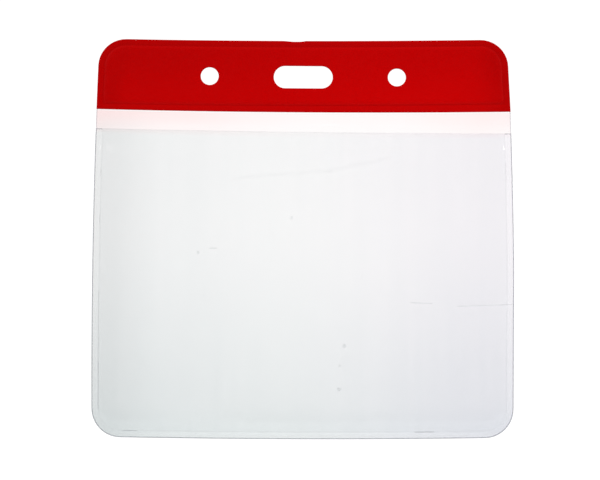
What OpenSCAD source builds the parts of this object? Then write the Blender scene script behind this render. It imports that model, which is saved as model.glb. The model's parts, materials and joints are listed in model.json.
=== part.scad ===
// Clear vinyl badge holder with a coloured header bar.
// Three sheets of film are welded together: a full-height rear film, a header
// bar welded over its top, and a front film welded round three sides so that
// it makes a pocket open at its top edge.
// The sheets stand upright: +X runs to the right across the front, -Y faces
// the viewer and +Z is up. The origin is the centre of the strap slot, on the
// plane where the sheets are welded together.

/* [Outline] */
// Width across the widest level
film_w = 111; // [104:0.5:118]
// Height from the top edge to the bottom edge
film_h = 105.5; // [98:0.1:112]
// Corner radius
corner_r = 7.5; // [4:0.5:12]
// Radius of the slightly bowed sides
side_r = 1850; // [900:50:4000]
// Depth of the widest level below the slot
widest_drop = 55; // [40:1:60]

/* [Header] */
// Depth of the slot's centre below the top edge
slot_drop = 9.8; // [8:0.1:12]
// Length of the strap slot
slot_w = 15.7; // [12:0.1:20]
// Height of the strap slot
slot_h = 6; // [4.6:0.1:7]
// Diameter of a chain hole
chain_d = 4.76; // [4.2:0.02:5.6]
// Distance from the slot's centre to a chain hole
chain_x = 24.9; // [18:0.1:36]
// Slope of the row of holes, falling to the right, in degrees
punch_slope = 0.3; // [0:0.1:1]
// Depth of the bar's lower edge below the slot, at the middle
bar_drop = 9.45; // [8:0.05:9.5]
// Slope of the bar's lower edge, falling to the right, in degrees
bar_slope = 0.25; // [0:0.05:0.3]

/* [Pocket] */
// Depth of the pocket's mouth below the slot, at the middle
mouth_drop = 14.95; // [14.4:0.05:18]
// Slope of the mouth, falling to the right, in degrees
mouth_slope = 0.6; // [0:0.1:0.9]
// Width of the weld round the pocket
weld_w = 1.75; // [1.2:0.05:3.5]
// Space inside the pocket, front to back
pocket_gap = 0.6; // [0.4:0.1:1.2]

/* [Film] */
// Thickness of the clear films
film_t = 0.3; // [0.2:0.05:0.5]
// Thickness of the header bar
bar_t = 0.35; // [0.25:0.05:0.6]
// Width of the pressed weld round the header bar
bar_weld_w = 1.5; // [0.8:0.1:2.4]
// Depth to which that weld is pressed
bar_weld_t = 0.1; // [0.05:0.01:0.15]

/* [Hidden] */

RED = "firebrick";
CLEAR = [0.86, 0.88, 0.9, 0.45];

top_z = slot_drop;
bottom_z = slot_drop - film_h;
// the rear film bends between these two levels, which the mouth and the bar stay clear of
bend_top_z = -9.8;
bend_bottom_z = -13.4;
// more than any sheet's size, for the cutting shapes
beyond = 200;
// the corners' centres stand this far out, so that their arcs cross the edges cleanly
corner_ease = 0.02;
// facets drawn on each kind of curve
SIDE_FN = 1440;
ROUND_FN = 96;

// Distance from the middle to the centre of a corner whose arc is tangent to the bowed side
function corner_x(z) =
  sqrt(pow(side_r - corner_r, 2) - pow(z + widest_drop, 2)) - (side_r - film_w / 2);

// What lies outside the rounded corner centred at height z; up is 1 at the top and -1 at the bottom
module corner_waste(z, up, inset) {
  translate([corner_x(z) + corner_ease, z + up * corner_ease])
    difference() {
      translate([0, up > 0 ? 0 : -beyond])
        square(beyond);
      circle(r = corner_r - inset, $fn = ROUND_FN);
    }
}

// The large disc whose edge is the bowed side on the right (side = 1) or the left (side = -1)
module side_disc(side, inset) {
  translate([-side * (side_r - film_w / 2), -widest_drop])
    circle(r = side_r - inset, $fn = SIDE_FN);
}

// The sheets' outline, taken in by inset all round
module outline(inset = 0) {
  difference() {
    intersection() {
      side_disc(-1, inset);
      side_disc(1, inset);
      translate([-film_w, bottom_z + inset])
        square([2 * film_w, film_h - 2 * inset]);
    }
    for (side = [0, 1])
      mirror([side, 0]) {
        corner_waste(top_z - corner_r, 1, inset);
        corner_waste(bottom_z + corner_r, -1, inset);
      }
  }
}

// Everything above (up = 1) or below (up = -1) a line that falls to the right
module beside_line(drop, slope, up) {
  translate([0, -drop])
    rotate(-slope)
      translate([-beyond, up > 0 ? 0 : -beyond])
        square([2 * beyond, beyond]);
}

// The slot and the two chain holes
module header_holes() {
  rotate(-punch_slope) {
    for (side = [-1, 1]) {
      translate([side * (slot_w - slot_h) / 2, 0])
        circle(d = slot_h, $fn = ROUND_FN);
      translate([side * chain_x, 0])
        circle(d = chain_d, $fn = ROUND_FN);
    }
    square([slot_w - slot_h, slot_h], center = true);
  }
}

// A flat sheet whose back is at back_y and which is that thick towards the front
module sheet(back_y, thick) {
  translate([0, back_y, 0])
    rotate([90, 0, 0])
      linear_extrude(height = thick)
        children();
}

// The header bar's outline, taken in by inset all round
module bar_outline(inset = 0) {
  intersection() {
    outline(inset);
    beside_line(bar_drop - inset, bar_slope, 1);
  }
}

// The front film's outline, taken in by inset at the welded sides only
module front_outline(inset = 0) {
  intersection() {
    outline(inset);
    beside_line(mouth_drop, mouth_slope, -1);
  }
}

// A level band of the rear film
module rear_band(low_z, high_z) {
  intersection() {
    outline();
    translate([-beyond, low_z])
      square([2 * beyond, high_z - low_z]);
  }
}

// Coloured strip, thinner where its edge is pressed down into the rear film
module header_bar() {
  color(RED)
    difference() {
      sheet(0, bar_t)
        difference() {
          bar_outline();
          header_holes();
        }
      sheet(bar_weld_t - bar_t, bar_t)
        difference() {
          bar_outline(-1);
          bar_outline(bar_weld_w);
        }
    }
}

// The rear film behind the header bar
module rear_film_header() {
  color(CLEAR)
    sheet(film_t, film_t)
      difference() {
        rear_band(bend_top_z, top_z + 1);
        header_holes();
      }
}

// The single film that bends between the header and the pocket
module rear_film_flex_band() {
  color(CLEAR)
    sheet(film_t, film_t)
      rear_band(bend_bottom_z, bend_top_z);
}

// The rear film behind the pocket
module rear_film_pocket() {
  color(CLEAR)
    sheet(film_t, film_t)
      rear_band(bottom_z - 1, bend_bottom_z);
}

// The part of the front film that lies over the pocket
module front_film_window() {
  color(CLEAR)
    sheet(-pocket_gap, film_t)
      front_outline(weld_w);
}

// The same film's border at the sides and bottom, welded down flat and stepped up to the window
module front_film_weld() {
  color(CLEAR) {
    sheet(0, film_t)
      difference() {
        front_outline();
        outline(weld_w);
      }
    sheet(0, pocket_gap)
      difference() {
        front_outline(weld_w);
        outline(weld_w + film_t);
      }
  }
}

header_bar();
rear_film_header();
rear_film_flex_band();
rear_film_pocket();
front_film_window();
front_film_weld();
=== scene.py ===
"""The looks of a clear vinyl badge holder: three thin films, welded together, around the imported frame.

The films are meshed in millimetres on the plane of the sheets, x to the right and z up, and are
written to Blender in metres. Each is one closed mesh with a front, a back and a rounded cut edge.
"""

import json
import math

import bpy
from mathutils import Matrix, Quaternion, Vector, geometry, noise


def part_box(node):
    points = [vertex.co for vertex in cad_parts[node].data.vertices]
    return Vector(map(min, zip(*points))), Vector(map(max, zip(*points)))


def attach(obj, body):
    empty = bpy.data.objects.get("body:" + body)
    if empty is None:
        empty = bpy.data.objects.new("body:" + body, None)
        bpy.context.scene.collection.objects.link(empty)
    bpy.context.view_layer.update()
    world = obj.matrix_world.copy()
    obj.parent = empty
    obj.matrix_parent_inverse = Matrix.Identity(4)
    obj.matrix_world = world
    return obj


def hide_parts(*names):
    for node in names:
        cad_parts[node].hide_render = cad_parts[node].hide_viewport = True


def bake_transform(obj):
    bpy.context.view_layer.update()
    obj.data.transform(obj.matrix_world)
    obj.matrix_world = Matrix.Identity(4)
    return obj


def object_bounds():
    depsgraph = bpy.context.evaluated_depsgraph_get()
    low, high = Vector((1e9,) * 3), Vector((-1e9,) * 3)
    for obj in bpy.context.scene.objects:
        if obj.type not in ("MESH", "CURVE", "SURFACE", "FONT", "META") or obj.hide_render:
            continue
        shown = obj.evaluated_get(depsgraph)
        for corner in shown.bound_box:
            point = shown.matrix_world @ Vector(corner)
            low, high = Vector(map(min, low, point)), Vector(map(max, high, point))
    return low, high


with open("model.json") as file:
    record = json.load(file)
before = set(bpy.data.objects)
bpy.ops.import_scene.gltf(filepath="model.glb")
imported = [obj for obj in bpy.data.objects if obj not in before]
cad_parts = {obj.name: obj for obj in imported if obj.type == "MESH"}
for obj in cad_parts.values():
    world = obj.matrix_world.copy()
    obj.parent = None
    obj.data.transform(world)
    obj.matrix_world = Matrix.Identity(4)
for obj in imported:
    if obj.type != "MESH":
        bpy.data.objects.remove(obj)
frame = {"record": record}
cad_low, cad_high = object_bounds()

MM = 0.001


# ---------------------------------------------------------------- sizes from the frame, in mm
def box_mm(node):
    low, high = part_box(node)
    return Vector(low) / MM, Vector(high) / MM


def mount(name):
    return next(m for m in frame["record"]["mounts"] if m["name"] == name)


bar_low, bar_high = box_mm("header_bar")
band_low, band_high = box_mm("rear_film_flex_band")
rear_low, rear_high = box_mm("rear_film_pocket")
_, window_high = box_mm("front_film_window")
_, weld_high = box_mm("front_film_weld")

TOP = bar_high.z
BOTTOM = rear_low.z
HALF_W = rear_high.x
WELD_W = HALF_W - window_high.x
SLOT_LENGTH = mount("strap_slot")["dims"]["slot_length_mm"]
SLOT_R = mount("strap_slot")["dims"]["hole_r_mm"]
CHAIN_R = mount("left_chain_hole")["dims"]["r_mm"]
CHAIN_AT = Vector(mount("right_chain_hole")["pos_m"]) / MM
PUNCH_SLOPE = math.atan2(CHAIN_AT.z, CHAIN_AT.x)
CHAIN_X = math.hypot(CHAIN_AT.x, CHAIN_AT.z)

# the mouth's and the bar's lower edge: the height at the middle, and the fall per mm to the right
MOUTH_Z = mount("insert_mouth")["pos_m"][2] / MM
MOUTH_FALL = (weld_high.z - MOUTH_Z) / weld_high.x
BAR_FALL = math.tan(math.radians(0.25))
BAR_Z = bar_low.z + BAR_FALL * bar_high.x

# the bowed sides' radius, the level at which the sheets are widest, and the corners' radius
SIDE_R = 1850.0
WIDEST_Z = -55.0
CORNER_R = 7.5

# the films' thickness, the space left between them where they are welded, and their rounded cut edge
CLEAR_T = rear_high.y
BAR_T = -bar_low.y
GAP = 0.02
ROUND = 0.09


# ---------------------------------------------------------------- outlines
def side_x(z, inset=0.0):
    """Half the width at height z, between sides taken in by inset."""
    return math.sqrt((SIDE_R - inset) ** 2 - (z - WIDEST_Z) ** 2) - (SIDE_R - HALF_W)


def corner_centre(edge, up):
    """The centre of a rounded corner at a level edge; up is 1 at the top and -1 at the bottom."""
    z = edge.level - up * CORNER_R
    x = math.sqrt((SIDE_R - CORNER_R) ** 2 - (z - WIDEST_Z) ** 2) - (SIDE_R - HALF_W)
    return x, z


class Edge:
    """A sheet's top or bottom: a line that falls to the right, or a level one with round corners."""

    def __init__(self, level, fall=0.0, rounded=False):
        self.level = level
        self.fall = fall
        self.rounded = rounded

    def z(self, x, shift=0.0):
        return self.level - self.fall * x + shift


def between(a, b, step):
    """Points evenly spaced from a towards b, without b."""
    count = max(1, round(math.dist(a, b) / step))
    return [tuple(p + (q - p) * i / count for p, q in zip(a, b)) for i in range(count)]


def arc(centre, radius, start, end, step=0.16):
    """Points on an arc, angles in radians, without its end."""
    count = max(2, round(abs(end - start) / step))
    angles = [start + (end - start) * i / count for i in range(count)]
    return [(centre[0] + radius * math.cos(a), centre[1] + radius * math.sin(a)) for a in angles]


def meeting(edge, side, shift, inset):
    """Where a sloping edge meets a side."""
    x = side * side_x(edge.level, inset)
    for _ in range(4):
        x = side * side_x(edge.z(x, shift), inset)
    return x, edge.z(x, shift)


def one_side(top, bottom, side, inset, step):
    """The points up the right side (side = 1) or the left one (side = -1), with both ends."""
    points = []
    if bottom.rounded:
        cx, cz = corner_centre(bottom, -1)
        turn = math.asin((cz - WIDEST_Z) / (SIDE_R - CORNER_R))
        points += arc((cx, cz), CORNER_R - inset, -math.pi / 2, turn)
        low = cz + (CORNER_R - inset) * math.sin(turn)
    else:
        low = meeting(bottom, side, inset, inset)[1]
    if top.rounded:
        cx, cz = corner_centre(top, 1)
        turn = math.asin((cz - WIDEST_Z) / (SIDE_R - CORNER_R))
        high = cz + (CORNER_R - inset) * math.sin(turn)
    else:
        high = meeting(top, side, -inset, inset)[1]
    count = max(1, round((high - low) / step))
    heights = [low + (high - low) * i / count for i in range(count)]
    points += [(side_x(z, inset), z) for z in heights]
    if top.rounded:
        points += arc((cx, cz), CORNER_R - inset, turn, math.pi / 2)
        points.append((cx, cz + CORNER_R - inset))
    else:
        points.append((side_x(high, inset), high))
    return [(side * x, z) for x, z in points]


def outline(top, bottom, inset=0.0, step=0.8):
    """A closed loop, anticlockwise from the bottom right."""
    right = one_side(top, bottom, 1, inset, step)
    left = one_side(top, bottom, -1, inset, step)
    loop = right[:-1]
    loop += between(right[-1], left[-1], step)
    loop += left[:0:-1]
    loop += between(left[0], right[0], step)
    return loop


def edge_distance(x, z, top, bottom, use_top=True):
    """How far a point is inside a sheet's outline, in mm."""
    near = SIDE_R - math.hypot(abs(x) + SIDE_R - HALF_W, z - WIDEST_Z)
    if use_top:
        near = min(near, (top.z(x) - z) / math.hypot(1, top.fall))
    near = min(near, (z - bottom.z(x)) / math.hypot(1, bottom.fall))
    for edge, up in ((top, 1), (bottom, -1)):
        if not edge.rounded:
            continue
        cx, cz = corner_centre(edge, up)
        dx, dz = abs(x) - cx, (z - cz) * up
        if dx > 0 and dz > 0:
            near = min(near, CORNER_R - math.hypot(dx, dz))
    return near


# ---------------------------------------------------------------- punched holes
def punched(x, z):
    """A point in the frame of the row of holes, which slopes a little."""
    c, s = math.cos(PUNCH_SLOPE), math.sin(PUNCH_SLOPE)
    return x * c + z * s, z * c - x * s


def unpunched(x, z):
    c, s = math.cos(PUNCH_SLOPE), math.sin(PUNCH_SLOPE)
    return x * c - z * s, z * c + x * s


def hole_distance(x, z):
    """How far a point is outside the nearest hole."""
    u, v = punched(x, z)
    slot = math.hypot(max(abs(u) - (SLOT_LENGTH / 2 - SLOT_R), 0), v) - SLOT_R
    return min(slot, math.hypot(abs(u) - CHAIN_X, v) - CHAIN_R)


def hole_loops(out):
    """The slot's loop and the two chain holes' loops, widened by out."""
    reach = SLOT_LENGTH / 2 - SLOT_R
    r = SLOT_R + out
    step = 0.9
    slot = arc((reach, 0), r, -math.pi / 2, math.pi / 2)
    slot += between((reach, r), (-reach, r), step)
    slot += arc((-reach, 0), r, math.pi / 2, 3 * math.pi / 2)
    slot += between((-reach, -r), (reach, -r), step)
    loops = [slot]
    for side in (-1, 1):
        loops.append(arc((side * CHAIN_X, 0), CHAIN_R + out, 0, 2 * math.pi, 0.2))
    return [[unpunched(x, z) for x, z in loop] for loop in loops]


# ---------------------------------------------------------------- the lie of the films
END_LIFT = 0.55
NICK_DEPTH = 0.21
RIGHT_BULGE = 0.2


def smooth(value, low, high):
    """0 at low, 1 at high, eased between them; low may be above high."""
    t = min(1.0, max(0.0, (value - low) / (high - low)))
    return t * t * (3 - 2 * t)


def ripple(x, z, seed, size, depth):
    """Gentle waves, from -depth to depth, each about size across."""
    return depth * noise.noise(Vector((x / size, z / size, seed)))


def lift(x, z):
    """The sheets' level lines rise a little towards both sides, and the cut dips at one place on top."""
    dip = NICK_DEPTH * smooth(x, -5.5, -2.5) * smooth(x, 0.6, -0.4) * smooth(z, TOP - 1.2, TOP)
    return END_LIFT * (x / HALF_W) ** 2 - dip


def sway(x, z):
    """The right side stands out a little between the header and the pocket's middle."""
    return RIGHT_BULGE * smooth(x, 0, HALF_W) * smooth(z, 4, -12) * smooth(z, -72, -48)


def lie(x, z):
    """How far the whole laminate stands off its flat plane: slight waves, stiffer in the header."""
    soft = smooth(z, BAR_Z + 6, BAR_Z - 12)
    return ripple(x, z, 3.7, 34.0, 0.12 + 0.22 * soft) + ripple(x, z, 9.1, 13.0, 0.02 + 0.05 * soft)


def rounding(d):
    """How far a face has turned towards the middle of the film at d from its cut edge."""
    if d >= ROUND:
        return 0.0
    return ROUND - math.sqrt(max(0.0, ROUND**2 - (ROUND - max(d, 0.0)) ** 2))


def ridge(d, at, width):
    """1 on a line at distance at, falling to 0 a width away on both sides."""
    return max(0.0, 1 - abs(d - at) / width)


# ---------------------------------------------------------------- mesh building
# how far inside a cut edge the mesh has rings, and how far outside a hole
RIM_RINGS = (0.0, 0.03, ROUND, 0.25)
HOLE_RINGS = RIM_RINGS + (0.6,)

# how far apart its other points are, and its rows where the rear film bends
MESH_STEP = 1.9
BAND_STEP = 0.3


def triangulate(loops, lines, points, inside):
    """A triangle mesh of the plane that keeps to the loops and lines, where inside(x, z) holds."""
    verts, edges = [], []
    for path, closed in [(p, True) for p in loops] + [(p, False) for p in lines]:
        first = len(verts)
        verts += path
        edges += [(first + i, first + i + 1) for i in range(len(path) - 1)]
        if closed:
            edges.append((first + len(path) - 1, first))
    verts += points
    flat, _, faces, _, _, _ = geometry.delaunay_2d_cdt([Vector(v) for v in verts], edges, [], 0, 1e-5)
    kept = []
    for face in faces:
        x = sum(flat[i].x for i in face) / 3
        z = sum(flat[i].y for i in face) / 3
        if inside(x, z):
            kept.append(tuple(face))
    used = sorted({i for face in kept for i in face})
    place = {old: new for new, old in enumerate(used)}
    return [(flat[i].x, flat[i].y) for i in used], [tuple(place[i] for i in face) for face in kept]


def film(name, loops, lines, points, inside, front, back, facts):
    """A closed film. front and back give y in mm, and facts are its named values at each point.

    The flat faces run anticlockwise, which faces the viewer, so the back's and the wall's are turned."""
    flat, faces = triangulate(loops, lines, points, inside)
    count = len(flat)
    sides = {(a, b): None for face in faces for a, b in zip(face, face[1:] + face[:1])}
    rim = [(a, b) for a, b in sides if (b, a) not in sides]
    verts = []
    for depth in (front, back):
        for x, z in flat:
            verts.append(Vector((x + sway(x, z), depth(x, z) + lie(x, z), z + lift(x, z))) * MM)
    solid = list(faces)
    solid += [tuple(i + count for i in reversed(face)) for face in faces]
    solid += [(b, a, a + count, b + count) for a, b in rim]
    mesh = bpy.data.meshes.new(name)
    mesh.from_pydata(verts, [], solid)
    mesh.validate()
    for key, value in facts.items():
        attribute = mesh.attributes.new(key, "FLOAT", "POINT")
        values = [value(x, z) for x, z in flat]
        attribute.data.foreach_set("value", values * 2)
    mesh.polygons.foreach_set("use_smooth", [True] * len(mesh.polygons))
    piece = bpy.data.objects.new(name, mesh)
    bpy.context.scene.collection.objects.link(piece)
    return piece


def grid(low_z, high_z, step_z, keep):
    """Points on a level grid where keep(x, z) holds."""
    columns = int(HALF_W / MESH_STEP) + 1
    rows = int((high_z - low_z) / step_z) + 1
    across = [i * MESH_STEP for i in range(-columns, columns + 1)]
    places = [(x, high_z - row * step_z) for row in range(rows) for x in across]
    return [p for p in places if keep(*p)]


# ---------------------------------------------------------------- the three films
top_edge = Edge(TOP, rounded=True)
bottom_edge = Edge(BOTTOM, rounded=True)
bar_edge = Edge(BAR_Z, BAR_FALL)
mouth_edge = Edge(MOUTH_Z, MOUTH_FALL)

# the strip's weld line keeps its distance from this line, which isn't quite the cut edge
bar_weld_edge = Edge(BAR_Z + 0.22, BAR_FALL - 0.0055)

# the header strip's weld line: how far inside the edge it runs, and its depths
BAR_WELD = 1.6
PRESSED = 0.1
GROOVE = 0.06
SWELL = 0.02

# the pocket: the weld's depths, and how far the two films stand apart in its middle
WELD_PRESSED = 0.08
WELD_BEAD = 0.03
WELD_TRACE = 0.03
FRONT_STEP = 0.22
FRONT_BOW = 1.15
REAR_SAG = 0.35


def clear_of_holes(x, z):
    return hole_distance(x, z) > 1.4


def make_header():
    """The coloured strip, pressed down along a weld line that runs round inside its edge."""

    def distance(x, z):
        return edge_distance(x, z, top_edge, bar_edge)

    def near(x, z):
        return min(distance(x, z), hole_distance(x, z))

    def weld_distance(x, z):
        return edge_distance(x, z, top_edge, bar_weld_edge)

    def front(x, z):
        d = weld_distance(x, z)
        pressed = PRESSED * (1 - smooth(d, BAR_WELD, BAR_WELD + 1.2))
        groove = GROOVE * ridge(d, BAR_WELD, 0.24)
        swell = SWELL * ridge(d, BAR_WELD + 0.75, 0.5)
        return -BAR_T - GAP + pressed + groove - swell + rounding(near(x, z))

    def back(x, z):
        return -GAP - rounding(near(x, z))

    def spare(x, z):
        return distance(x, z) > 3.6 and clear_of_holes(x, z)

    loops = [outline(top_edge, bar_edge, inset) for inset in RIM_RINGS]
    loops += [outline(top_edge, bar_weld_edge, BAR_WELD + more) for more in (-0.24, 0.0, 0.24, 0.75, 1.25)]
    loops += [loop for out in HOLE_RINGS for loop in hole_loops(out)]
    points = grid(BAR_Z - 1, TOP, MESH_STEP, spare)
    facts = {"edge_mm": distance, "weld_mm": weld_distance, "hole_mm": hole_distance}
    return film("header_strip", loops, [], points, lambda x, z: near(x, z) > 0, front, back, facts)


def make_rear():
    """The full-height rear film."""

    def distance(x, z):
        return edge_distance(x, z, top_edge, bottom_edge)

    def near(x, z):
        return min(distance(x, z), hole_distance(x, z))

    def front(x, z):
        return rounding(near(x, z)) + sag_back(x, z)

    def back(x, z):
        d = distance(x, z)
        trace = WELD_TRACE * ridge(d, WELD_W, 0.3) * smooth(z, MOUTH_Z, MOUTH_Z - 1.5)
        return CLEAR_T - trace - rounding(near(x, z)) + sag_back(x, z)

    def well_inside(x, z):
        return distance(x, z) > 3.2

    def spare(x, z):
        off_band = z > band_high.z + 0.5 or z < band_low.z - 0.5
        return off_band and well_inside(x, z) and clear_of_holes(x, z)

    insets = RIM_RINGS + (WELD_W - 0.3, WELD_W, WELD_W + 0.3)
    loops = [outline(top_edge, bottom_edge, inset) for inset in insets]
    loops += [loop for out in HOLE_RINGS for loop in hole_loops(out)]
    lines = [[(-HALF_W - 1, level), (HALF_W + 1, level)] for level in (band_high.z, band_low.z)]
    points = grid(BOTTOM, TOP, MESH_STEP, spare)
    points += grid(band_low.z + BAND_STEP, band_high.z, BAND_STEP, well_inside)
    facts = {
        "edge_mm": distance,
        "bar_mm": lambda x, z: bar_edge.z(x) - z,
        "mouth_mm": lambda x, z: mouth_edge.z(x) - z,
    }
    return film("rear_film", loops, lines, points, lambda x, z: near(x, z) > 0, front, back, facts)


def pocket_share(x, z):
    """0 at the pocket's welds, rising to 1 in its middle."""
    d = edge_distance(x, z, mouth_edge, bottom_edge, use_top=False)
    return smooth(d, WELD_W, WELD_W + 34)


def sag_back(x, z):
    """The rear film stands back a little behind the pocket."""
    return REAR_SAG * pocket_share(x, z) * smooth(z, band_low.z + 4, MOUTH_Z - 26)


def make_front():
    """The front film, welded round three sides, which stands off the rear film towards its mouth."""

    def weld_distance(x, z):
        return edge_distance(x, z, mouth_edge, bottom_edge, use_top=False)

    def near(x, z):
        return edge_distance(x, z, mouth_edge, bottom_edge)

    def stand_off(x, z):
        d = weld_distance(x, z)
        step = FRONT_STEP * smooth(d, WELD_W, WELD_W + 1.8)
        opening = 0.35 + 0.65 * smooth(z, BOTTOM, MOUTH_Z)
        bow = FRONT_BOW * pocket_share(x, z) * opening
        waves = ripple(x, z, 21.3, 26.0, 0.16) + ripple(x, z, 5.2, 11.0, 0.05)
        return step + bow + waves * smooth(d, WELD_W + 1, WELD_W + 9)

    def front(x, z):
        d = weld_distance(x, z)
        pressed = WELD_PRESSED * (1 - smooth(d, WELD_W - 0.1, WELD_W + 0.9))
        bead = WELD_BEAD * ridge(d, WELD_W + 0.35, 0.4)
        return -CLEAR_T - GAP + pressed - bead - stand_off(x, z) + rounding(near(x, z))

    def back(x, z):
        return -GAP - stand_off(x, z) - rounding(near(x, z))

    weld_rings = tuple(WELD_W + more for more in (-0.3, 0.0, 0.35, 0.75, 1.3))
    loops = [outline(mouth_edge, bottom_edge, inset) for inset in RIM_RINGS + weld_rings]
    # the weld's lines run on through the mouth's edge at both sides
    stubs = []
    for side in (-1, 1):
        for inset in weld_rings:
            ends = (MOUTH_Z - 5, MOUTH_Z + 2)
            stubs.append([(side * side_x(z, inset), z) for z in ends])
    points = grid(BOTTOM, TOP, MESH_STEP, lambda x, z: near(x, z) > 4)
    facts = {
        "edge_mm": weld_distance,
        "mouth_mm": lambda x, z: mouth_edge.z(x) - z,
    }
    return film("front_film", loops, stubs, points, lambda x, z: near(x, z) > 0, front, back, facts)


header_strip = make_header()
rear_film = make_rear()
front_film = make_front()


# ---------------------------------------------------------------- materials
class Shader:
    """Short calls for building one material's nodes."""

    def __init__(self, name):
        self.material = bpy.data.materials.new(name)
        self.material.use_nodes = True
        self.tree = self.material.node_tree
        self.tree.nodes.clear()
        self.places = self.add("ShaderNodeTexCoord").outputs["Object"]

    def add(self, kind, **settings):
        node = self.tree.nodes.new(kind)
        for key, value in settings.items():
            setattr(node, key, value)
        return node

    def put(self, socket, value):
        if isinstance(value, bpy.types.NodeSocket):
            self.tree.links.new(value, socket)
        else:
            socket.default_value = value

    def fact(self, name):
        return self.add("ShaderNodeAttribute", attribute_name=name).outputs["Fac"]

    def maths(self, operation, a, b=0.0, clamp=False):
        node = self.add("ShaderNodeMath", operation=operation, use_clamp=clamp)
        self.put(node.inputs[0], a)
        self.put(node.inputs[1], b)
        return node.outputs[0]

    def times(self, a, b):
        return self.maths("MULTIPLY", a, b)

    def plus(self, *values):
        total = values[0]
        for value in values[1:]:
            total = self.maths("ADD", total, value)
        return total

    def ease(self, value, low, high, out_low=0.0, out_high=1.0):
        node = self.add("ShaderNodeMapRange", interpolation_type="SMOOTHSTEP")
        for socket, given in zip(node.inputs[:5], (value, low, high, out_low, out_high)):
            self.put(socket, given)
        return node.outputs[0]

    def line(self, value, at, width):
        """1 where value is at, falling to 0 a width away."""
        away = self.maths("ABSOLUTE", self.maths("SUBTRACT", value, at))
        return self.ease(away, 0.0, width, 1.0, 0.0)

    def noise(self, scale, detail=2.0, stretch=(1, 1, 1)):
        moved = self.add("ShaderNodeMapping")
        self.put(moved.inputs["Vector"], self.places)
        moved.inputs["Scale"].default_value = stretch
        node = self.add("ShaderNodeTexNoise")
        self.put(node.inputs["Vector"], moved.outputs[0])
        node.inputs["Scale"].default_value = scale
        node.inputs["Detail"].default_value = detail
        return node.outputs["Fac"]

    def blend(self, share, a, b):
        node = self.add("ShaderNodeMix", data_type="RGBA")
        self.put(node.inputs["Factor"], share)
        self.put(node.inputs["A"], a)
        self.put(node.inputs["B"], b)
        return node.outputs["Result"]

    def layer(self, share, under, over):
        node = self.add("ShaderNodeMixShader")
        self.put(node.inputs[0], share)
        self.put(node.inputs[1], under)
        self.put(node.inputs[2], over)
        return node.outputs[0]

    def bump(self, height, strength, distance):
        node = self.add("ShaderNodeBump")
        self.put(node.inputs["Height"], height)
        node.inputs["Strength"].default_value = strength
        node.inputs["Distance"].default_value = distance
        return node.outputs[0]

    def axes(self):
        """The x, y and z of the point, in metres."""
        node = self.add("ShaderNodeSeparateXYZ")
        self.put(node.inputs[0], self.places)
        return node.outputs

    def vector(self, operation, a, b):
        node = self.add("ShaderNodeVectorMath", operation=operation)
        self.put(node.inputs[0], a)
        self.put(node.inputs[1], b)
        return node

    def speck(self, x, z, radius, share):
        """share within a small round mark at x, z, all in mm, falling to 0 at its radius."""
        on_sheet = self.vector("MULTIPLY", self.places, (1, 0, 1)).outputs[0]
        away = self.vector("DISTANCE", on_sheet, (x * MM, 0, z * MM)).outputs["Value"]
        return self.ease(away, radius * 0.4 * MM, radius * MM, share, 0.0)

    def scratch(self, start, end, width, share):
        """share along a thin line between two points in mm, falling to 0 at half its width."""
        a = Vector((start[0], 0, start[1])) * MM
        along = Vector((end[0], 0, end[1])) * MM - a
        on_sheet = self.vector("MULTIPLY", self.places, (1, 0, 1)).outputs[0]
        from_a = self.vector("SUBTRACT", on_sheet, a).outputs[0]
        part = self.vector("DOT_PRODUCT", from_a, along / along.length_squared).outputs["Value"]
        part = self.maths("MULTIPLY", part, 1.0, clamp=True)
        foot = self.add("ShaderNodeVectorMath", operation="SCALE")
        foot.inputs[0].default_value = along
        self.put(foot.inputs["Scale"], part)
        away = self.vector("DISTANCE", from_a, foot.outputs[0]).outputs["Value"]
        return self.ease(away, 0.0, width * MM, share, 0.0)

    def dash(self, side, start, end, share):
        """share between two places in mm along one side's or the bottom's weld, eased at both ends."""
        x, _, z = self.axes()
        along, across = (x, z) if side == "bottom" else (z, x)
        inside = self.times(
            self.ease(along, (start - 0.5) * MM, (start + 0.5) * MM),
            self.ease(along, (end - 0.5) * MM, (end + 0.5) * MM, share, 0.0),
        )
        limit = (BOTTOM + 6) * MM if side == "bottom" else 0.0
        beyond = "GREATER_THAN" if side == "right" else "LESS_THAN"
        return self.times(inside, self.maths(beyond, across, limit))

    def mirror_share(self):
        """The share of light that a clear film's face mirrors, alike on both its sides."""
        straight_on = 0.04
        facing = self.add("ShaderNodeLayerWeight").outputs["Facing"]
        return self.plus(self.times(self.maths("POWER", facing, 5.0), 1 - straight_on), straight_on)

    def finish(self, shader):
        self.put(self.add("ShaderNodeOutputMaterial").inputs["Surface"], shader)
        return self.material


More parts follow.
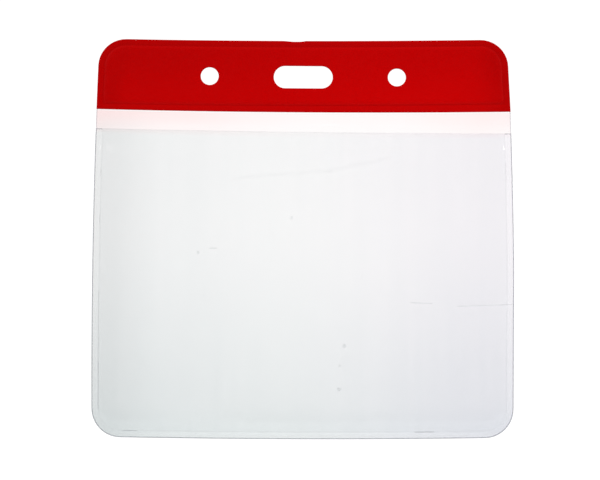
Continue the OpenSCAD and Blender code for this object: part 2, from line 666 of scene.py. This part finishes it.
def red_vinyl():
    """Opaque red vinyl with a fine satin grain, deeper in colour where the weld presses it, with painted
    shade at its ends, its top, its cut edge and its holes' rims.
    """
    s = Shader("red_vinyl")
    edge = s.fact("edge_mm")
    x, _, z = s.axes()
    weld = s.fact("weld_mm")
    pressed = s.ease(weld, BAR_WELD - 0.3, BAR_WELD + 0.4, 1.0, 0.0)
    line = s.line(weld, BAR_WELD, 0.4)
    # painted shade: the red darkens towards the left, at both ends and towards the top; the clouds are its
    # own uneven tone
    ends = s.plus(
        s.ease(x, -0.050, 0.030, 0.42, 0.0),
        s.ease(x, -0.055, -0.045, 0.80, 0.0),
        s.ease(x, 0.044, 0.056, 0.0, 0.75),
    )
    painted_top_shade = s.ease(z, -0.006, 0.007, 0.0, 0.42)
    cloud = s.ease(s.noise(28.0), 0.3, 0.7, 0.0, 0.15)
    colour = s.blend(s.plus(ends, painted_top_shade, cloud), (0.492, 0.0001, 0.0004, 1), (0.38, 0.0001, 0.0003, 1))
    colour = s.blend(s.times(pressed, 0.35), colour, (0.37, 0.0001, 0.0003, 1))
    colour = s.blend(s.times(line, 0.6), colour, (0.33, 0.0001, 0.0003, 1))
    # painted shade: darker along the cut edge and round the holes
    hole_rim_shade = s.ease(s.fact("hole_mm"), 0.0, 0.25, 1.0, 0.0)
    rim = s.maths("MAXIMUM", s.ease(edge, 0.0, 0.2, 1.0, 0.0), hole_rim_shade)
    colour = s.blend(s.times(rim, 0.3), colour, (0.30, 0.0003, 0.0005, 1))
    p = s.add("ShaderNodeBsdfPrincipled")
    s.put(p.inputs["Base Color"], colour)
    s.put(p.inputs["Roughness"], s.ease(s.noise(900.0), 0.3, 0.7, 0.28, 0.36))
    p.inputs["Specular IOR Level"].default_value = 0.05
    height = s.plus(s.times(s.noise(5200.0, 3.0), 0.15), s.noise(120.0, 1.0))
    s.put(p.inputs["Normal"], s.bump(height, 0.2, 0.0001))
    return s.finish(p.outputs[0])


# painted shade makes the film greyer towards the left, the right and the bottom: from where to where in
# metres, and how much
LEFT_SHADE = (-0.055, -0.004, 0.062)
RIGHT_SHADE = (0.012, 0.056, 0.036)
LOWER_SHADE = (-0.036, -0.108, 0.178)
FOOT_SHADE = (-0.085, -0.096, 0.06)


def window_shade(s):
    """How grey the pocket's window is, from about 0 in the upper middle: painted shade towards the left,
    the right and the bottom, and faint clouds and streaks.
    """
    x, _, z = s.axes()
    left = s.ease(x, LEFT_SHADE[0], LEFT_SHADE[1], LEFT_SHADE[2], 0.0)
    right = s.ease(x, RIGHT_SHADE[0], RIGHT_SHADE[1], 0.0, RIGHT_SHADE[2])
    lower = s.ease(z, LOWER_SHADE[1], LOWER_SHADE[0], LOWER_SHADE[2], 0.0)
    foot = s.ease(z, FOOT_SHADE[1], FOOT_SHADE[0], FOOT_SHADE[2], 0.0)
    foot = s.times(foot, s.ease(z, (BOTTOM + WELD_W - 0.2) * MM, (BOTTOM + WELD_W + 0.2) * MM, 0.5, 1.0))
    cloud = s.ease(s.noise(16.0, 3.0), 0.3, 0.7, -0.006, 0.012)
    streak = s.ease(s.noise(420.0, 2.0, (1, 1, 0.02)), 0.3, 0.7, -0.004, 0.006)
    return s.plus(left, right, lower, foot, cloud, streak)


def clear_vinyl(s, tint_and_shade, haze_and_shade_share, haze_and_shade_colour, fused):
    """Clear vinyl: it tints what is behind it, mirrors a little at its faces and is partly hazy; the tint
    and the haze also carry painted shade.

    fused is 1 where two films are welded into one, so that they mirror less between them."""
    gone = s.add("ShaderNodeBsdfTransparent")
    s.put(gone.inputs["Color"], tint_and_shade)
    haze_and_shade = s.add("ShaderNodeBsdfDiffuse")
    s.put(haze_and_shade.inputs["Color"], haze_and_shade_colour)
    body = s.layer(haze_and_shade_share, gone.outputs[0], haze_and_shade.outputs[0])
    gloss = s.add("ShaderNodeBsdfGlossy")
    gloss.inputs["Roughness"].default_value = 0.12
    height = s.plus(s.noise(160.0, 2.0), s.times(s.noise(620.0), 0.25))
    s.put(gloss.inputs["Normal"], s.bump(height, 0.2, 0.0002))
    share = s.times(s.mirror_share(), s.ease(fused, 0.0, 1.0, 1.0, 0.8))
    return s.finish(s.layer(share, body, gloss.outputs[0]))


def rear_vinyl():
    """The rear film, with a blush of the bar's red in the single film just below it, a painted highlight
    just under the bar's edge, and painted shade towards its left side and along its cut edge.
    """
    s = Shader("rear_clear_vinyl")
    edge = s.fact("edge_mm")
    below_bar = s.fact("bar_mm")
    below_mouth = s.fact("mouth_mm")
    x, _, _ = s.axes()
    # painted shade: a dark line along the film's cut edge, carried in its haze
    rim = s.ease(edge, 0.05, 0.32, 1.0, 0.0)
    in_pocket = s.ease(below_mouth, 0.0, 0.8)
    border = s.times(s.ease(edge, WELD_W - 0.2, WELD_W + 0.1, 1.0, 0.0), in_pocket)
    fused = s.maths("MAXIMUM", border, s.ease(below_bar, -0.1, 0.1, 1.0, 0.0))
    fade = s.ease(below_bar, 0.3, 6.5, 1.0, 0.4)
    # a painted highlight: the blush is weaker in a thin line right under the bar's edge
    start = s.ease(below_bar, 0.1, 0.45, 0.25, 1.0)
    stop = s.ease(below_mouth, -0.2, 1.6, 1.0, 0.06)
    ends = s.plus(s.ease(x, -0.045, 0.0, 0.20, 0.0), s.ease(x, 0.02, 0.056, 0.0, 0.14), 0.08)
    cloud = s.ease(s.noise(45.0), 0.3, 0.7, 0.85, 1.15)
    blush = s.times(s.times(s.times(fade, start), s.times(stop, ends)), cloud)
    # painted shade: the film is darker towards its left side
    painted_left_shade = s.times(s.ease(x, -0.056, -0.036, 0.055, 0.0), s.ease(below_bar, 0.0, 5.0, 0.5, 1.0))
    shaded_clear = s.blend(painted_left_shade, (0.998, 0.998, 0.998, 1), (0, 0, 0, 1))
    tint_and_shade = s.blend(blush, shaded_clear, (1.0, 0.68, 0.67, 1))
    haze_and_shade = s.plus(s.times(rim, 0.36), s.times(s.noise(300.0, 3.0), 0.006))
    return clear_vinyl(s, tint_and_shade, haze_and_shade, (0.36, 0.36, 0.40, 1), fused)


# stretches of the weld's inner line darkened by painted shade: where, from and to in mm, and how strong
DASHES = (
    ("left", -88.0, -76.0, 0.22),
    ("left", -77.0, -57.0, 0.12),
    ("left", -39.2, -36.7, 0.12),
    ("left", -26.8, -24.4, 0.12),
    ("right", -25.0, -22.8, 0.10),
    ("right", -28.5, -25.0, 0.05),
    ("bottom", -47.0, -43.4, 0.2),
    ("bottom", 29.4, 34.2, 0.34),
)

# specks in the front film: x, z and radius in mm, and how strong
SPECKS = (
    (10.9, -71.4, 0.75, 0.085),
    (9.6, -82.7, 0.75, 0.09),
    (9.7, -76.5, 0.5, 0.04),
    (-27.6, -46.9, 0.55, 0.08),
    (-26.0, -58.2, 0.5, 0.04),
    (20.3, -56.6, 0.4, 0.03),
    (-3.0, -37.7, 0.7, 0.045),
)

# scratches in it, and one crease in two parts: the ends and the width in mm, and how strong
SCRATCHES = (
    ((28.4, -60.0), (33.9, -60.2), 0.28, 0.06),
    ((40.6, -60.9), (55.3, -60.4), 0.28, 0.06),
    ((-24.4, -45.8), (-22.8, -45.8), 0.3, 0.08),
    ((-18.0, -27.1), (7.0, -25.3), 1.1, 0.010),
    ((7.0, -25.3), (22.5, -21.8), 1.1, 0.010),
)


def front_vinyl():
    """The front film: its weld line, specks and scratches, painted dark lines at its cut edges and in
    dashes on its weld, and its window, greyer towards the bottom and the sides with painted shade.
    """
    s = Shader("front_clear_vinyl")
    edge = s.fact("edge_mm")
    below_mouth = s.fact("mouth_mm")
    # painted shade: a dark line along the film's cut edge
    rim = s.ease(edge, 0.05, 0.32, 1.0, 0.0)
    fused = s.ease(edge, WELD_W - 0.2, WELD_W + 0.1, 1.0, 0.0)
    # painted shade in dashes along the weld's inner line
    shade_dashes = s.plus(*[s.dash(*given) for given in DASHES])
    # painted shade: a dark line along the mouth's cut edge, darker over the welds
    lip = s.ease(below_mouth, 0.05, 0.28, 1.0, 0.0)
    # the marks hold painted shade (rim, weld line, dashes, lip) and the film's own specks and scratches
    marks_and_shade = s.plus(
        s.times(rim, 0.36),
        s.times(s.line(edge, WELD_W, 0.17), shade_dashes),
        s.times(s.line(edge, WELD_W + 0.1, 0.4), 0.02),
        s.times(s.times(lip, fused), 0.45),
        s.times(lip, 0.045),
        *[s.speck(*given) for given in SPECKS],
        *[s.scratch(*given) for given in SCRATCHES],
    )
    shade = window_shade(s)
    # painted shade: how much the window is darkened, a little less where the films are welded, and its
    # colour from clearest to darkest
    dark = s.times(s.plus(shade, s.times(fused, -0.02)), 0.5)
    side = s.ease(s.axes()[0], -0.012, 0.052)
    clearest = s.blend(side, (0.998, 0.999, 0.999, 1), (0.998, 0.985, 0.999, 1))
    darkest = s.blend(side, (0.09, 0.31, 0.32, 1), (0.03, 0.24, 0.36, 1))
    tint_and_shade = s.blend(dark, clearest, darkest)
    haze_and_shade = s.maths("MINIMUM", s.plus(marks_and_shade, s.times(shade, 0.12)), 0.9)
    return clear_vinyl(s, tint_and_shade, haze_and_shade, (0.30, 0.30, 0.34, 1), fused)


header_strip.data.materials.append(red_vinyl())
rear_film.data.materials.append(rear_vinyl())
front_film.data.materials.append(front_vinyl())

# ---------------------------------------------------------------- how the films ride on the frame
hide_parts("header_bar")
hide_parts("rear_film_header", "rear_film_flex_band", "rear_film_pocket")
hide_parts("front_film_window", "front_film_weld")
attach(header_strip, "header")
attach(front_film, "pocket")
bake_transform(rear_film)


# ---------------------------------------------------------------- studio
FLOOR_RADIUS = 1.5
FLOOR_DROP = 0.12
FLOOR_GREY = 0.48
LIGHT_SIZE = 0.9


def floor():
    """A plain pale disc below the object, which hangs."""
    mesh = bpy.data.meshes.new("floor")
    ring = arc((0, 0), FLOOR_RADIUS, 0, 2 * math.pi, 0.065)
    mesh.from_pydata([(x, y, 0) for x, y in ring], [], [list(range(len(ring)))])
    disc = bpy.data.objects.new("floor", mesh)
    disc.location.z = cad_low.z - FLOOR_DROP
    bpy.context.scene.collection.objects.link(disc)
    s = Shader("pale_floor")
    p = s.add("ShaderNodeBsdfPrincipled")
    p.inputs["Base Color"].default_value = (FLOOR_GREY, FLOOR_GREY, FLOOR_GREY, 1)
    p.inputs["Roughness"].default_value = 0.9
    disc.data.materials.append(s.finish(p.outputs[0]))


def area_light(name, place, watts):
    """A square lamp that faces the object's middle."""
    light = bpy.data.lights.new(name, "AREA")
    light.shape = "SQUARE"
    light.size = LIGHT_SIZE
    light.energy = watts
    lamp = bpy.data.objects.new(name, light)
    lamp.location = place
    aim = Vector((0, 0, (cad_low.z + cad_high.z) / 2)) - Vector(place)
    lamp.rotation_mode = "QUATERNION"
    lamp.rotation_quaternion = aim.to_track_quat("-Z", "Y")
    bpy.context.scene.collection.objects.link(lamp)


def studio_world():
    """A soft room: white behind the object, pale grey elsewhere, and darker in front for reflections."""
    world = bpy.data.worlds.new("studio")
    world.use_nodes = True
    tree = world.node_tree
    tree.nodes.clear()
    way = tree.nodes.new("ShaderNodeTexCoord")
    split = tree.nodes.new("ShaderNodeSeparateXYZ")
    tree.links.new(way.outputs["Generated"], split.inputs[0])

    def room(low, high, dim, bright):
        """Light that grows from dim to bright as the direction turns from front to back."""
        ramp = tree.nodes.new("ShaderNodeMapRange")
        ramp.interpolation_type = "SMOOTHSTEP"
        tree.links.new(split.outputs["Y"], ramp.inputs["Value"])
        for name, value in zip(("From Min", "From Max", "To Min", "To Max"), (low, high, dim, bright)):
            ramp.inputs[name].default_value = value
        light = tree.nodes.new("ShaderNodeBackground")
        light.inputs["Color"].default_value = (1, 1, 1, 1)
        tree.links.new(ramp.outputs[0], light.inputs["Strength"])
        return light.outputs[0]

    path = tree.nodes.new("ShaderNodeLightPath")
    mix = tree.nodes.new("ShaderNodeMixShader")
    tree.links.new(path.outputs["Is Camera Ray"], mix.inputs[0])
    tree.links.new(room(-1.0, -0.55, 0.10, 0.8), mix.inputs[1])
    tree.links.new(room(0.55, 0.92, 0.62, 1.09), mix.inputs[2])
    tree.links.new(mix.outputs[0], tree.nodes.new("ShaderNodeOutputWorld").inputs["Surface"])
    bpy.context.scene.world = world


floor()
studio_world()
area_light("key", (-1.1, -0.75, 0.85), 15.4)
area_light("fill", (1.2, -0.65, 0.5), 14.0)
area_light("back", (0.5, 1.1, 0.8), 6.0)


# ---------------------------------------------------------------- camera
# what it looks at and from how far, how far below level it stands, and its slight roll
AIM = Vector((-0.00076, 0, -0.04348))
DISTANCE = 0.43
BELOW = math.radians(5)
ROLL = math.radians(0.14)

# how wide a view it has where it aims, and its sensor in mm
VIEW_W = 0.1584
SENSOR_W = 36

camera_data = bpy.data.cameras.new("camera")
camera_data.sensor_width = SENSOR_W
camera_data.lens = SENSOR_W * DISTANCE / VIEW_W
camera = bpy.data.objects.new("camera", camera_data)
bpy.context.scene.collection.objects.link(camera)
camera.location = AIM + DISTANCE * Vector((0, -math.cos(BELOW), -math.sin(BELOW)))
camera.rotation_mode = "QUATERNION"
aim_turn = (AIM - camera.location).to_track_quat("-Z", "Y")
camera.rotation_quaternion = aim_turn @ Quaternion((0, 0, 1), ROLL)
bpy.context.scene.camera = camera
bpy.context.scene.view_settings.view_transform = "Standard"
